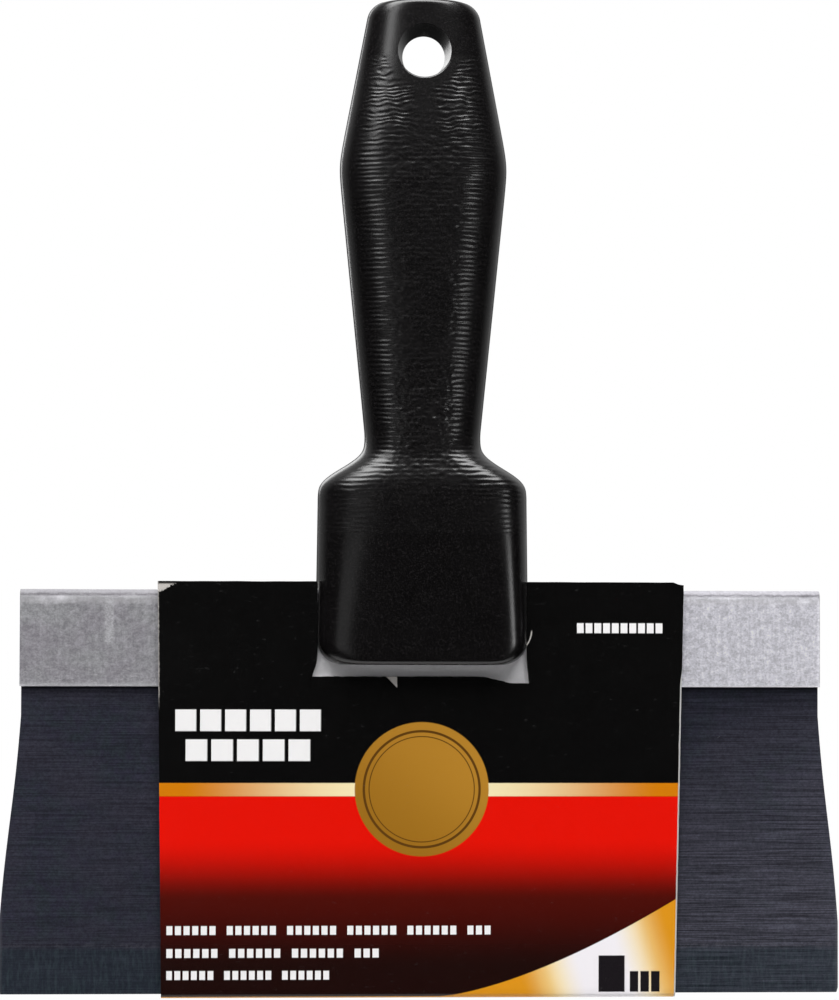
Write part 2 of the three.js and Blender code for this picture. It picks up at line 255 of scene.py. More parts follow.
def cut(piece, cutters):
    """Takes the cutters' shapes out of the piece, and removes the cutters."""
    for cutter in cutters:
        change = piece.modifiers.new("cut", "BOOLEAN")
        change.operation = "DIFFERENCE"
        change.solver = "MANIFOLD"
        change.object = cutter
        apply_modifiers(piece)
        bpy.data.objects.remove(cutter)


def apply_modifiers(piece):
    graph = bpy.context.evaluated_depsgraph_get()
    finished = bpy.data.meshes.new_from_object(piece.evaluated_get(graph))
    finished.name = piece.name
    piece.modifiers.clear()
    piece.data = finished


def mark_sharp(piece, degrees):
    piece.data.set_sharp_from_angle(angle=math.radians(degrees))


# ------------------------ node tools

class Look:
    """A node material, built with short calls. Lengths in its maths are millimetres."""

    def __init__(self, name):
        self.material = bpy.data.materials.new(name)
        self.material.use_nodes = True
        self.tree = self.material.node_tree
        self.shader = self.tree.nodes["Principled BSDF"]
        self.place = self.tree.nodes.new("ShaderNodeTexCoord").outputs["Object"]

    def node(self, kind, **settings):
        made = self.tree.nodes.new(kind)
        for key, value in settings.items():
            setattr(made, key, value)
        return made

    def put(self, socket, value):
        if isinstance(value, bpy.types.NodeSocket):
            self.tree.links.new(value, socket)
        else:
            socket.default_value = value

    def set(self, **values):
        """Sets shader sockets: base_color is "Base Color"."""
        for key, value in values.items():
            names = {s.name.lower().replace(" ", "_"): s for s in self.shader.inputs}
            self.put(names[key], value)

    def math(self, operation, a, b=0.0, c=0.0):
        made = self.node("ShaderNodeMath", operation=operation)
        for socket, value in zip(made.inputs, (a, b, c)):
            self.put(socket, value)
        return made.outputs[0]

    def axes(self):
        """x, y and z in millimetres, z above the working edge."""
        split = self.node("ShaderNodeSeparateXYZ")
        self.put(split.inputs[0], self.place)
        x = self.math("MULTIPLY", split.outputs[0], 1 / MM)
        y = self.math("MULTIPLY", split.outputs[1], 1 / MM)
        z = self.math("MULTIPLY_ADD", split.outputs[2], 1 / MM, -EDGE_Z / MM)
        return x, y, z

    def step(self, value, start, end):
        """0 before start, 1 after end, smooth between them."""
        made = self.node("ShaderNodeMapRange", interpolation_type="SMOOTHSTEP")
        self.put(made.inputs["Value"], value)
        made.inputs["From Min"].default_value = start
        made.inputs["From Max"].default_value = end
        return made.outputs["Result"]

    def drop(self, value, start, end):
        """1 before start, 0 after end, smooth between them."""
        return self.math("SUBTRACT", 1.0, self.step(value, start, end))

    def span(self, value, start, end, soft=0.12):
        """1 between start and end."""
        rise = self.step(value, start - soft, start + soft)
        fall = self.step(value, end - soft, end + soft)
        return self.math("SUBTRACT", rise, fall)

    def both(self, *masks):
        result = masks[0]
        for mask in masks[1:]:
            result = self.math("MULTIPLY", result, mask)
        return result

    def either(self, *masks):
        result = masks[0]
        for mask in masks[1:]:
            result = self.math("MAXIMUM", result, mask)
        return result

    def scaled(self, scale):
        """The object's place in millimetres, times (x, y, z)."""
        made = self.node("ShaderNodeVectorMath", operation="MULTIPLY")
        self.put(made.inputs[0], self.place)
        made.inputs[1].default_value = [s / MM for s in scale]
        return made.outputs[0]

    def noise(self, scale, detail=3.0, roughness=0.5, distortion=0.0):
        """Noise from 0 to 1 with features about 1/scale millimetres long on each axis."""
        made = self.node("ShaderNodeTexNoise")
        self.put(made.inputs["Vector"], self.scaled(scale))
        numbers = {"Scale": 1.0, "Detail": detail, "Roughness": roughness, "Distortion": distortion}
        for key, value in numbers.items():
            made.inputs[key].default_value = value
        return made.outputs[0]

    def specks(self, cell, radius, share):
        """Round specks, one in a share of the cells of the given size."""
        made = self.node("ShaderNodeTexVoronoi")
        self.put(made.inputs["Vector"], self.scaled((1 / cell, 0, 1 / cell)))
        made.inputs["Scale"].default_value = 1.0
        near = self.drop(made.outputs["Distance"], radius * 0.5, radius)
        split = self.node("ShaderNodeSeparateColor")
        self.put(split.inputs[0], made.outputs["Color"])
        chosen = self.math("LESS_THAN", split.outputs[0], share)
        return self.both(near, chosen)

    def blend(self, share, first, second):
        """first where share is 0, second where it is 1."""
        made = self.node("ShaderNodeMix", data_type="RGBA")
        self.put(made.inputs["Factor"], share)
        self.put(made.inputs["A"], (*first, 1) if isinstance(first, tuple) else first)
        self.put(made.inputs["B"], (*second, 1) if isinstance(second, tuple) else second)
        return next(s for s in made.outputs if s.type == "RGBA")

    def cover(self, base, mask, strength, colour):
        """Lays a colour over the base, at the given strength where the mask is 1."""
        return self.blend(self.math("MULTIPLY", mask, strength), base, colour)

    def shade(self, colour, value, spread, amount):
        """Darkens and lightens a colour as a noise runs below and above its middle."""
        made = self.node("ShaderNodeVectorMath", operation="SCALE")
        self.put(made.inputs[0], colour)
        wave = self.step(value, 0.5 - spread, 0.5 + spread)
        if isinstance(amount, bpy.types.NodeSocket):
            around = self.math("MULTIPLY", self.range(wave, -1, 1), amount)
            factor = self.math("ADD", 1.0, around)
        else:
            factor = self.range(wave, 1 - amount, 1 + amount)
        self.put(made.inputs["Scale"], factor)
        return made.outputs[0]

    def range(self, value, low, high):
        """A value from 0 to 1 stretched to run from low to high."""
        return self.math("MULTIPLY_ADD", value, high - low, low)

    def bump(self, height, depth_mm, strength):
        made = self.node("ShaderNodeBump")
        made.inputs["Strength"].default_value = strength
        made.inputs["Distance"].default_value = depth_mm * MM
        self.put(made.inputs["Height"], height)
        self.put(self.shader.inputs["Normal"], made.outputs["Normal"])


# ------------------------ camera, stage, light

CAMERA_PLACE = (-30.0, -700.0, 100.0)
CAMERA_YAW = 2.40
CAMERA_PITCH = 1.585
CAMERA_ROLL = 0.176
FOCAL_PIXELS = 2883
IMAGE_HEIGHT = 1000

LAMPS = [
    # name, azimuth, elevation, distance, width, height, brightness
    ("left_softbox", -37, 29, 1.1, 0.21, 0.4, 4.7),
    ("left_fill", -27, -9, 1.1, 0.48, 0.34, 0.6),
    ("right_softbox", 38, -9, 1.1, 0.24, 0.12, 11.5),
    ("top_softbox", -8, 67, 1.25, 1.6, 0.9, 10.7),
    ("back_softbox", -160, 18, 1.3, 0.6, 0.6, 2.0),
]


def make_camera():
    data = bpy.data.cameras.new("camera")
    data.sensor_width = 36
    data.lens = data.sensor_width * FOCAL_PIXELS / IMAGE_HEIGHT
    data.clip_start = 0.05
    camera = bpy.data.objects.new("camera", data)
    yaw = math.radians(CAMERA_YAW)
    pitch = math.radians(CAMERA_PITCH)
    forward = Vector((
        math.sin(yaw) * math.cos(pitch),
        math.cos(yaw) * math.cos(pitch),
        math.sin(pitch),
    ))
    right = Vector((math.cos(yaw), -math.sin(yaw), 0))
    up = right.cross(forward)
    turn = Matrix((right, up, -forward)).transposed()
    turn = turn @ Matrix.Rotation(math.radians(CAMERA_ROLL), 3, "Z")
    place = Vector(to_frame(CAMERA_PLACE))
    camera.matrix_world = Matrix.Translation(place) @ turn.to_4x4()
    bpy.context.scene.collection.objects.link(camera)
    bpy.context.scene.camera = camera


def make_floor():
    """A pale disc well below the knife, where the sleeve can slide down without touching it."""
    profile = [(0, 0), (FLOOR_RADIUS, 0), (FLOOR_RADIUS, -FLOOR_THICKNESS), (0, -FLOOR_THICKNESS)]
    points, faces = lathe(profile, segments=96)
    look = Look("floor_paint")
    grain = look.noise((0.02, 0.02, 0.02), detail=2)
    look.set(base_color=look.blend(grain, (0.66, 0.66, 0.66), (0.7, 0.7, 0.7)), roughness=0.7)
    upright = [(x, z, y - FLOOR_DROP) for x, y, z in points]
    floor = add_piece("floor", upright, faces, look.material, smooth=False)


def make_light(name, azimuth, elevation, distance, width, height, brightness):
    """A softbox that faces the middle of the knife. Azimuth is from the front, right positive."""
    data = bpy.data.lights.new(name, "AREA")
    data.shape = "RECTANGLE"
    data.size = width
    data.size_y = height
    data.energy = math.pi * width * height * brightness
    lamp = bpy.data.objects.new(name, data)
    turn = math.radians(azimuth)
    rise = math.radians(elevation)
    away = Vector((
        math.sin(turn) * math.cos(rise),
        -math.cos(turn) * math.cos(rise),
        math.sin(rise),
    ))
    target = Vector((0, 0, EDGE_Z / 2))
    lamp.location = target + away * distance
    lamp.rotation_euler = away.to_track_quat("Z", "Y").to_euler()
    bpy.context.scene.collection.objects.link(lamp)


def map_range(tree, value, ends, results, interpolation):
    """Takes a value between two ends to between two results."""
    made = tree.nodes.new("ShaderNodeMapRange")
    made.interpolation_type = interpolation
    made.inputs["From Min"].default_value, made.inputs["From Max"].default_value = ends
    made.inputs["To Min"].default_value, made.inputs["To Max"].default_value = results
    tree.links.new(value, made.inputs["Value"])
    return made.outputs["Result"]


def make_world():
    """White behind the knife and dim in front of it, seen as plain white by the camera."""
    world = bpy.data.worlds.new("studio")
    bpy.context.scene.world = world
    world.use_nodes = True
    tree = world.node_tree
    tree.nodes.clear()
    place = tree.nodes.new("ShaderNodeTexCoord")
    split = tree.nodes.new("ShaderNodeSeparateXYZ")
    tree.links.new(place.outputs["Generated"], split.inputs[0])
    behind = map_range(tree, split.outputs["Y"], (-0.1, 0.5), (0.01, 0.3), "SMOOTHSTEP")
    overhead = map_range(tree, split.outputs["Z"], (-0.35, 0.35), (0.2, 1.8), "LINEAR")
    strength = tree.nodes.new("ShaderNodeMath")
    strength.operation = "MULTIPLY"
    tree.links.new(behind, strength.inputs[0])
    tree.links.new(overhead, strength.inputs[1])
    room = tree.nodes.new("ShaderNodeBackground")
    tree.links.new(strength.outputs[0], room.inputs["Strength"])
    white = tree.nodes.new("ShaderNodeBackground")
    white.inputs["Strength"].default_value = 1.0
    for background in (room, white):
        background.inputs["Color"].default_value = (1, 1, 1, 1)
    path = tree.nodes.new("ShaderNodeLightPath")
    choose = tree.nodes.new("ShaderNodeMixShader")
    tree.links.new(path.outputs["Is Camera Ray"], choose.inputs[0])
    tree.links.new(room.outputs[0], choose.inputs[1])
    tree.links.new(white.outputs[0], choose.inputs[2])
    output = tree.nodes.new("ShaderNodeOutputWorld")
    tree.links.new(choose.outputs[0], output.inputs["Surface"])


def make_studio():
    bpy.context.scene.view_settings.view_transform = "Standard"
    make_camera()
    make_world()
    make_floor()
    for lamp in LAMPS:
        make_light(*lamp)


# ------------------------ materials

def blued_steel_look():
    look = Look("blued_steel")
    x, _, z = look.axes()
    lines = look.noise((0.05, 0.5, 3.2), detail=5, roughness=0.7)
    blotches = look.noise((0.6, 0.5, 0.75), detail=5, roughness=0.75)
    grain = look.noise((1.6, 0.5, 2.0), detail=3, roughness=0.75)
    cloud = look.noise((0.05, 0.03, 0.07), detail=3)
    tint = look.noise((0.28, 0.1, 0.3), detail=4, roughness=0.65)
    streaks = look.noise((1.1, 0.5, 0.22), detail=4, roughness=0.7)

    # Painted sheen: the blade is painted lighter towards its lower right, with stronger streaks there,
    # where the lights fall brighter on it.
    painted_sheen = look.step(look.math("SUBTRACT", look.math("MULTIPLY", x, 0.3), z), -60, 15)
    painted_sheen = look.both(painted_sheen, look.step(x, 20, 60))
    base = look.blend(look.step(tint, 0.35, 0.65), (0.047, 0.046, 0.075), (0.044, 0.054, 0.07))
    base = look.blend(look.step(cloud, 0.35, 0.65), base, (0.056, 0.055, 0.08))
    # Painted shade: the upper right of the blade is darkened where less light falls.
    dim = look.both(look.step(x, 20, 60), look.step(z, 45, 80))
    base = look.cover(base, dim, 0.6, (0.012, 0.013, 0.024))
    base = look.cover(base, painted_sheen, 0.6, (0.12, 0.12, 0.155))
    base = look.shade(base, lines, 0.14, look.range(painted_sheen, 0.26, 0.55))
    base = look.shade(base, blotches, 0.2, 0.17)
    base = look.shade(base, grain, 0.2, 0.2)

    edge_wave = look.math("MULTIPLY_ADD", tint, 1.8, z)
    ground = look.drop(edge_wave, GROUND_BAND - 0.2, GROUND_BAND + 1.5)
    band = look.blend(look.step(streaks, 0.42, 0.7), (0.018, 0.036, 0.05), (0.06, 0.1, 0.115))
    base = look.cover(base, ground, 0.5, band)
    seam = look.both(
        look.span(edge_wave, GROUND_BAND + 1.0, GROUND_BAND + 1.6, 0.6),
        look.step(blotches, 0.45, 0.6),
    )
    base = look.cover(base, seam, 0.25, (0.2, 0.2, 0.23))

    flecks = look.noise((0.8, 0.5, 1.0), detail=5, roughness=0.8, distortion=0.6)
    worn = look.step(flecks, 0.68, 0.78)
    base = look.cover(base, worn, 0.6, (0.34, 0.34, 0.38))
    side = look.step(look.math("ABSOLUTE", x), BLADE_HIGH.x - 1.0, BLADE_HIGH.x - 0.2)
    base = look.cover(base, side, 0.25, (0.25, 0.25, 0.27))
    shade = look.step(z, BAR_LOW.z - 0.9, BAR_LOW.z - 0.3)
    base = look.cover(base, shade, 0.8, (0.006, 0.006, 0.01))
    look.set(
        base_color=base,
        metallic=look.range(worn, 0.75, 0.3),
        roughness=look.range(lines, 0.28, 0.46),
    )
    look.bump(look.math("ADD", lines, blotches), 0.012, 0.5)
    return look.material


def mill_aluminium_look():
    look = Look("mill_aluminium")
    x, _, z = look.axes()
    mottle = look.noise((0.55, 0.55, 0.7), detail=5, roughness=0.7)
    cloud = look.noise((0.09, 0.09, 0.12), detail=3)
    grain = look.noise((1.8, 1.8, 2.2), detail=3, roughness=0.7)
    rolled = look.noise((1.2, 1.2, 0.1), detail=3, roughness=0.6)
    scuffs = look.noise((0.45, 0.45, 2.4), detail=4, roughness=0.65)
    # Painted light: the bar is painted much lighter towards its right end, where the lights fall brighter
    # on it.
    painted_light_right_end = look.step(x, -30, 75)
    base = look.blend(look.step(cloud, 0.35, 0.65), (0.39, 0.375, 0.41), (0.42, 0.42, 0.44))
    base = look.blend(painted_light_right_end, base, (0.8, 0.79, 0.86))
    base = look.shade(base, mottle, 0.14, 0.15)
    base = look.shade(base, rolled, 0.2, 0.08)
    base = look.shade(base, grain, 0.18, 0.15)

    low = look.drop(z, BAR_LOW.z + 0.5, BAR_LOW.z + 9)
    flecks = look.both(look.step(scuffs, 0.58, 0.68), low)
    base = look.cover(base, flecks, 0.5, (0.85, 0.83, 0.86))
    # Painted highlight: a lighter line along the bevelled lower edge of the channel.
    hem_highlight = look.drop(z, BAR_LOW.z + 0.3, BAR_LOW.z + 1.4)
    base = look.cover(base, hem_highlight, 0.3, (0.9, 0.9, 0.92))

    ragged = look.math("MULTIPLY_ADD", mottle, 2.0, z)
    # Painted highlight: a lighter ragged band on the front face just under the fold's top, where the
    # rounded fold catches the light.
    shoulder = look.step(ragged, BAR_HIGH.z - 3.0, BAR_HIGH.z - 1.8)
    base = look.cover(base, shoulder, 0.35, (0.8, 0.79, 0.82))
    # A ragged darker line near the very top of the fold.
    ragged_top_line = look.span(ragged, BAR_HIGH.z - 0.3, BAR_HIGH.z + 0.1, 0.2)
    ragged_top_line = look.both(ragged_top_line, look.step(mottle, 0.35, 0.5))
    base = look.cover(base, ragged_top_line, 0.6, (0.2, 0.19, 0.21))

    # Painted light: the bar under the handle's head is painted nearly white, standing in for light
    # falling there from the front where the head shades it.
    beside = look.span(x, -30, 30, 4.0)
    painted_light_under_head = look.both(beside, look.drop(z, 78.0, 90.0))
    base = look.cover(base, painted_light_under_head, 0.85, (0.97, 0.96, 0.98))
    # Painted shade: the top of the fold is darkened to tone down its bright reflection; the same mask
    # makes it rougher.
    fold = look.step(z, BAR_HIGH.z - 2.2, BAR_HIGH.z - 1.2)
    base = look.cover(base, fold, 0.6, (0.13, 0.125, 0.135))

    rub = look.both(look.span(x, -76.6, -74.4, 0.5), look.span(z, 84.5, 95.5, 0.8))
    rub = look.both(rub, look.range(look.step(grain, 0.3, 0.7), 0.15, 0.5))
    base = look.blend(rub, base, (0.85, 0.85, 0.88))
    nicks = look.step(look.noise((0.7, 0.7, 1.1), detail=5, roughness=0.8, distortion=0.5), 0.7, 0.78)
    base = look.cover(base, nicks, 0.6, (0.92, 0.92, 0.94))
    height = look.math("MULTIPLY_ADD", grain, 0.5, look.math("ADD", mottle, scuffs))
    look.set(
        base_color=base,
        metallic=0.7,
        roughness=look.math("MULTIPLY_ADD", fold, 0.4, look.range(mottle, 0.38, 0.52)),
    )
    look.bump(height, 0.03, 0.5)
    return look.material


def black_plastic_look():
    look = Look("black_plastic")
    _, _, z = look.axes()
    grain = look.noise((2.6, 2.6, 2.6), detail=4, roughness=0.6)
    fine = look.noise((7, 7, 9), detail=2, roughness=0.6)
    cloud = look.noise((0.12, 0.12, 0.12), detail=2)
    dust = look.specks(3.1, 0.06, 0.3)
    textured = look.span(z, TEXTURE_BOTTOM, TEXTURE_TOP, 0.5)
    rough_skin = look.range(look.math("MULTIPLY_ADD", fine, 0.4, cloud), 0.18, 0.25)
    base = look.blend(cloud, (0.0018, 0.0015, 0.0016), (0.003, 0.0026, 0.0028))
    base = look.blend(look.step(grain, 0.5, 0.68), base, (0.012, 0.0108, 0.0112))
    base = look.cover(base, dust, 0.2, (0.1, 0.1, 0.1))
    look.set(
        base_color=base,
        roughness=look.math("MULTIPLY_ADD", textured, 0.04, rough_skin),
        specular_ior_level=0.5,
    )
    look.bump(look.math("MULTIPLY_ADD", grain, 0.6, fine), 0.014, 0.5)
    return look.material


def zinc_steel_look():
    look = Look("zinc_steel")
    swirl = look.noise((1.2, 1.2, 1.2), detail=4)
    look.set(
        base_color=look.blend(swirl, (0.5, 0.51, 0.54), (0.68, 0.69, 0.72)),
        metallic=1.0,
        roughness=look.range(swirl, 0.22, 0.42),
    )
    look.bump(swirl, 0.01, 0.4)
    return look.material


BLACK_INK = (0.0022, 0.0021, 0.0021)
RED_INK = (0.71, 0.0055, 0.0015)
GOLD_INK = (0.59, 0.185, 0.0025)
CREAM_INK = (0.84, 0.74, 0.44)
WHITE_INK = (0.8, 0.79, 0.79)
STRIPE_TOP = 50.9
STRIPE_BOTTOM = 47.7
SEAL_HEIGHT = 49.4
SEAL_RADIUS = 16.2
SEAL_RINGS = [(2.5, 1.9), (3.6, 3.35)]
SWOOSH_START = 4.0
SWOOSH_LENGTH = 57.6
SWOOSH_RISE = 23.3
SWOOSH_POWER = 1.485
FLAKE_FOOT = 73.9
SLIVER_TOP = 87.8

PRINT_SOFT = 0.12
SMALL_PRINT_LEFT = -61.4
SMALL_PRINT_TALL = 2.2
SMALL_PRINT_LINES = [
    # letters, length, height of the line's foot
    (38, 78.8, 14.3),
    (24, 51.8, 8.8),
    (20, 39.8, 3.5),
]
LETTERS_IN_WORD = 7

WHITE_ROWS = [
    # left, right, low, high, pitch, gap
    (-59.5, -23.5, 63.4, 68.6, 6.0, 0.16),
    (-57.0, -26.0, 56.2, 61.4, 6.2, 0.16),
    (37.5, 58.8, 87.2, 89.6, 2.13, 0.22),
]
DARK_ROWS = [
    # left, right, low, high, pitch, gap
    (43.0, 49.4, 0.4, 9.2, 6.4, 0.0),
    (50.6, 58.4, 0.4, 5.4, 2.6, 0.2),
]


def dashes(look, x, z, left, right, low, high, pitch, gap, blur=0.03):
    """A row of plain blocks where a line of print would be. Gap and blur are shares of the pitch."""
    along = look.math("FRACT", look.math("DIVIDE", look.math("SUBTRACT", x, left), pitch))
    blocks = look.drop(along, 1 - gap - blur, 1 - gap + blur)
    end = right - gap * pitch / 2
    return look.both(look.span(x, left, end, PRINT_SOFT), look.span(z, low, high, PRINT_SOFT), blocks)


def small_print(look, x, z):
    """Three lines of letter-sized blocks, grouped as words."""
    lines = []
    left = SMALL_PRINT_LEFT
    for letters, length, low in SMALL_PRINT_LINES:
        high = low + SMALL_PRINT_TALL
        letter = length / letters
        word = LETTERS_IN_WORD * letter
        blocks = dashes(look, x, z, left, left + length, low, high, letter, 0.3)
        words = dashes(look, x, z, left, left + length + word, low, high, word, 0.165, blur=0.005)
        lines.append(look.both(blocks, words))
    return lines


def swoosh_mask(look, x, z):
    """The corner below a curve that rises to the right."""
    across = look.math("MULTIPLY", look.math("SUBTRACT", x, SWOOSH_START), 1 / SWOOSH_LENGTH)
    across = look.math("MAXIMUM", across, 0.0)
    curve = look.math("MULTIPLY", look.math("POWER", across, SWOOSH_POWER), SWOOSH_RISE)
    above = look.math("SUBTRACT", z, look.math("SUBTRACT", curve, 0.6))
    return look.drop(above, -0.15, 0.15)


def printed_card_look():
    look = Look("printed_card")
    x, y, z = look.axes()
    front = look.math("LESS_THAN", y, 0.0)

    red_part = look.drop(z, STRIPE_BOTTOM - 0.1, STRIPE_BOTTOM + 0.1)
    fade = look.step(z, 22.5, 38.0)
    deep = look.blend(look.step(z, 6, 26), (0.011, 0.0028, 0.0022), (0.07, 0.004, 0.002))
    red = look.blend(fade, deep, RED_INK)
    colour = look.blend(red_part, BLACK_INK, red)

    middle = look.drop(look.math("ABSOLUTE", x), 12, 58)
    stripe_colour = look.blend(middle, GOLD_INK, CREAM_INK)
    stripe = look.span(z, STRIPE_BOTTOM, STRIPE_TOP, 0.1)
    colour = look.blend(stripe, colour, stripe_colour)

    swoosh = look.both(front, swoosh_mask(look, x, z))
    slanted = look.math("MULTIPLY_ADD", z, 0.3, x)
    glow = look.blend(look.span(slanted, 31.0, 59.0, 6.0), (0.66, 0.27, 0.011), (0.86, 0.68, 0.3))
    gold_to_white = look.blend(look.span(slanted, 36.0, 55.0, 5.0), glow, (0.82, 0.79, 0.82))
    colour = look.blend(swoosh, colour, gold_to_white)

    over = look.math("SUBTRACT", z, SEAL_HEIGHT)
    squares = look.math("ADD", look.math("MULTIPLY", x, x), look.math("MULTIPLY", over, over))
    reach = look.math("SQRT", squares)
    disc = look.both(front, look.drop(reach, SEAL_RADIUS - 0.15, SEAL_RADIUS + 0.15))
    rings = [look.span(reach, SEAL_RADIUS - out, SEAL_RADIUS - near, 0.1) for out, near in SEAL_RINGS]
    slant = look.math("ADD", look.math("MULTIPLY", x, 0.04), look.math("MULTIPLY", over, 0.05))
    sheen = look.step(slant, -1.0, 1.0)
    gold = look.blend(sheen, (0.3, 0.135, 0.011), (0.42, 0.2, 0.022))
    gold = look.blend(look.either(*rings), gold, (0.1, 0.04, 0.006))
    colour = look.blend(disc, colour, gold)

    white_print = look.either(
        *[dashes(look, x, z, *row) for row in WHITE_ROWS],
        *small_print(look, x, z),
    )
    colour = look.blend(look.both(front, white_print), colour, WHITE_INK)
    dark_print = look.either(*[dashes(look, x, z, *row) for row in DARK_ROWS])
    colour = look.blend(look.both(front, dark_print), colour, (0.01, 0.008, 0.01))

    torn = look.noise((1.1, 1.1, 1.1), detail=5, roughness=0.7)
    tear_line = look.math("MULTIPLY_ADD", x, 0.55, SLEEVE_HIGH.z + 0.55 * SLEEVE_HIGH.x - 3.4)
    corner = look.math("SUBTRACT", z, tear_line)
    corner = look.math("MULTIPLY_ADD", torn, 2.4, corner)
    corner = look.both(
        look.step(corner, 1.5, 1.9),
        look.span(z, SLEEVE_HIGH.z - 2.6, SLEEVE_HIGH.z - 0.7, 0.3),
    )
    edge = look.math("SUBTRACT", look.math("MULTIPLY_ADD", z, -SIDE_TAPER, SLEEVE_HIGH.z * SIDE_TAPER), x)
    edge = look.math("SUBTRACT", edge, SLEEVE_HIGH.x - 0.3)
    edge = look.math("MULTIPLY_ADD", torn, 0.6, edge)
    edge = look.both(look.step(edge, 0.25, 0.5), look.step(z, 68, 74), look.range(torn, 0.2, 1.0))
    worn = look.either(corner, edge)
    flake_half = look.math("MULTIPLY", look.math("SUBTRACT", z, FLAKE_FOOT), 0.5)
    flake_axis = look.math("ABSOLUTE", look.math("ADD", x, look.math("MULTIPLY_ADD", z, 0.5, -30.9)))
    flake = look.math("GREATER_THAN", flake_half, flake_axis)
    flake = look.both(flake, look.span(z, FLAKE_FOOT, 77.5, 0.1))
    below = look.math("SUBTRACT", SLIVER_TOP, z)
    sliver_bow = look.math("POWER", look.math("MULTIPLY", below, 0.24), 2.0)
    sliver_x = look.math("ADD", look.math("MULTIPLY", sliver_bow, 1.6), look.math("SUBTRACT", x, 26.5))
    sliver = look.both(look.span(sliver_x, -0.14, 0.16, 0.08), look.span(z, 83.9, 87.6, 0.4))
    bare = look.both(front, look.either(worn, flake, sliver))
    colour = look.cover(colour, bare, 0.8, (0.6, 0.57, 0.54))

    mottle = look.noise((0.25, 0.25, 0.25), detail=5, roughness=0.65)
    scuff = look.step(look.noise((0.5, 0.5, 1.2), detail=6, roughness=0.75), 0.6, 0.78)
    colour = look.cover(colour, scuff, 0.12, (0.2, 0.2, 0.2))
    dust = look.step(look.noise((0.9, 0.9, 0.9), detail=4, roughness=0.8), 0.76, 0.82)
    colour = look.cover(colour, dust, 0.5, (0.5, 0.5, 0.5))

    look.set(
        base_color=colour,
        roughness=look.range(mottle, 0.17, 0.28),
        specular_ior_level=0.35,
    )
    look.bump(mottle, 0.03, 0.4)
    return look.material


def card_core_look():
    look = Look("card_core")
    fibre = look.noise((1.5, 3.0, 1.5), detail=5, roughness=0.7)
    look.set(
        base_color=look.blend(fibre, (0.5, 0.49, 0.47), (0.82, 0.81, 0.79)),
        roughness=0.85,
    )
    look.bump(fibre, 0.08, 0.6)
    return look.material


# ------------------------ blade

def make_blade(material):
    """The blued sheet: straight at the edge, flaring sides, honed to a thinner edge below."""
    half = BLADE_HIGH.x
    thick = BLADE_HIGH.y
    top = BLADE_HIGH.z

    def half_at(z):
        share = ramp(z, BLADE_FLARE_END, BLADE_FLARE_START)
        return mix(half, BLADE_NECK_HALF, mix(share, float(ease(share)), 0.25))

    heights = [0, 0.15, BLADE_HONED, 4, 10, BLADE_FLARE_END]
    heights += list(np.linspace(BLADE_FLARE_END, BLADE_FLARE_START, 26)[1:])
    heights += [74, 80, 87, top - 0.3, top]
    columns = 60
    loops = []
    for z in heights:
        wide = half_at(z) - BLADE_CORNER * max(0, BLADE_CORNER - z)
        deep = thick * mix(BLADE_HONED_SHARE, 1, min(1, z / BLADE_HONED))
        half_loop = []
        for across in np.linspace(-1, 1, columns):
            y = deep - BLADE_EDGE_BREAK if abs(across) == 1 else deep
            half_loop.append((wide * across, y, z))
        loops.append([(x, -y, z) for x, y, z in half_loop] + half_loop[::-1])
    points = [point for loop in loops for point in loop]
    faces = loft_faces(len(loops), 2 * columns)
    blade = add_piece("blade_steel", points, faces, material)
    cut(blade, [drill(x, z, radius, material) for x, z, radius in fastener_places()])
    mark_sharp(blade, 30)
    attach(blade, "knife")
    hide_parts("blade")


def fastener_places():
    """x, z and hole radius of every rivet and screw that goes through the metal."""
    rivets = [centre_mm(f"blade_rivet_{i}") for i in range(1, 5)]
    screws = [centre_mm("head_screw_left"), centre_mm("head_screw_right")]
    return [(c.x, c.z, RIVET_HOLE) for c in rivets] + [(c.x, c.z, SCREW_HOLE) for c in screws]


def drill(x, z, radius, material, low=-8.0, high=8.0):
    """A rod along the Y axis that cuts a hole."""
    points, faces = lathe([(0, low), (radius, low), (radius, high), (0, high)])
    return add_piece("drill", move(points, (x, 0, z)), faces, material)


# ------------------------ backing bar

BAR_DENTS = [
    # x, distance below the top, width, height, depth
    (-91.8, 1.6, 1.6, 0.9, 0.28),
    (-87.2, 1.3, 1.9, 0.9, 0.32),
    (85.6, 2.6, 0.9, 0.7, 0.25),
    (93.6, 1.8, 1.2, 0.8, 0.3),
    (-70.5, 1.0, 2.5, 0.6, 0.12),
    (74.0, 1.1, 2.8, 0.6, 0.12),
]


def bar_profile():
    """The folded sheet's outline as (y, z), round the outside and back up the inside."""
    outer = BAR_HIGH.y
    inner = outer - BAR_SHEET
    low = BAR_LOW.z
    centre = BAR_HIGH.z - outer
    bevel = BAR_LIP_BEVEL
    rise = list(np.linspace(low + bevel, centre, 26))
    arc = [math.pi * i / 16 for i in range(1, 16)]
    outside = [(-outer + bevel, low), (-outer + 0.12, low + bevel - 0.14)]
    outside += [(-outer, z) for z in rise]
    outside += [(-outer * math.cos(a), centre + outer * math.sin(a)) for a in arc]
    outside += [(outer, z) for z in rise[::-1]]
    outside += [(outer - 0.12, low + bevel - 0.14), (outer - bevel, low)]
    inside = [(inner, low), (inner, centre)]
    inside += [(inner * math.cos(a), centre + inner * math.sin(a)) for a in arc]
    inside += [(-inner, centre), (-inner, low)]
    return outside + inside, len(outside)


